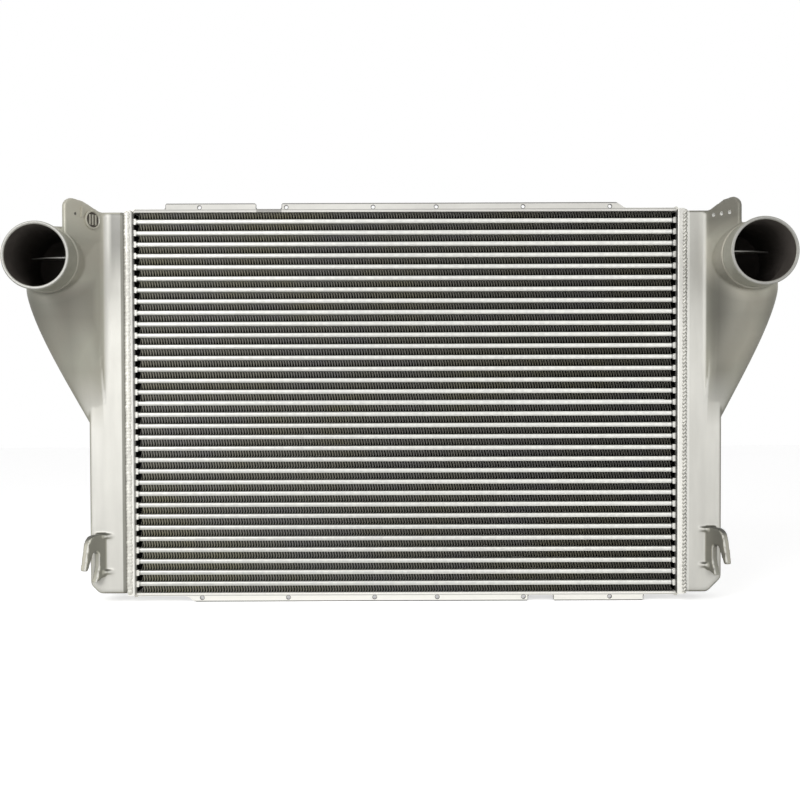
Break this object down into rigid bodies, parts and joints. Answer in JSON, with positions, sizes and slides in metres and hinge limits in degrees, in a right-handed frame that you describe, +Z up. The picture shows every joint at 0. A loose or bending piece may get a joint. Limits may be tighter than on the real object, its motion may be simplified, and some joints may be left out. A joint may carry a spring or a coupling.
{
  "type": "charge air cooler",
  "caption": "Heavy-truck intercooler: a flat-tube and fin core between cast side tanks that flare into hose ports, with folded side rails, drilled ears and hooks.",
  "frame": {"origin": "on the floor under the middle of the whole cooler's box", "axes": "+X from the left tank to the right one, +Z up, -Y the way both hose ports face"},
  "size_m": [1.1886, 0.1864, 0.633],
  "materials": {
    "cast_aluminium": "satin, as cast and blasted",
    "sheet_aluminium": "mill finish",
    "tube_aluminium": "bright, brazed",
    "weld_metal": "rippled weld bead",
    "fin_metal": "thin folded sheet, dark in its depth"
  },
  "bodies": {
    "root": {"left_tank": "cast_aluminium", "right_tank": "cast_aluminium", "left_header": "sheet_aluminium", "right_header": "sheet_aluminium", "upper_side_rail": "sheet_aluminium", "lower_side_rail": "sheet_aluminium", "left_tank_weld": "weld_metal", "right_tank_weld": "weld_metal", "rail_welds": "weld_metal", "air_fins": "fin_metal", "turbulators": "fin_metal", "tube_01": "tube_aluminium", "tube_02": "tube_aluminium", "tube_03": "tube_aluminium", "tube_04": "tube_aluminium", "tube_05": "tube_aluminium", "tube_06": "tube_aluminium", "tube_07": "tube_aluminium", "tube_08": "tube_aluminium", "tube_09": "tube_aluminium", "tube_10": "tube_aluminium", "tube_11": "tube_aluminium", "tube_12": "tube_aluminium", "tube_13": "tube_aluminium", "tube_14": "tube_aluminium", "tube_15": "tube_aluminium", "tube_16": "tube_aluminium", "tube_17": "tube_aluminium", "tube_18": "tube_aluminium", "tube_19": "tube_aluminium", "tube_20": "tube_aluminium", "tube_21": "tube_aluminium", "tube_22": "tube_aluminium", "tube_23": "tube_aluminium", "tube_24": "tube_aluminium", "tube_25": "tube_aluminium", "tube_26": "tube_aluminium", "tube_27": "tube_aluminium", "tube_28": "tube_aluminium", "tube_29": "tube_aluminium", "tube_30": "tube_aluminium", "tube_31": "tube_aluminium", "tube_32": "tube_aluminium", "tube_33": "tube_aluminium"}
  },
  "joints": []
}
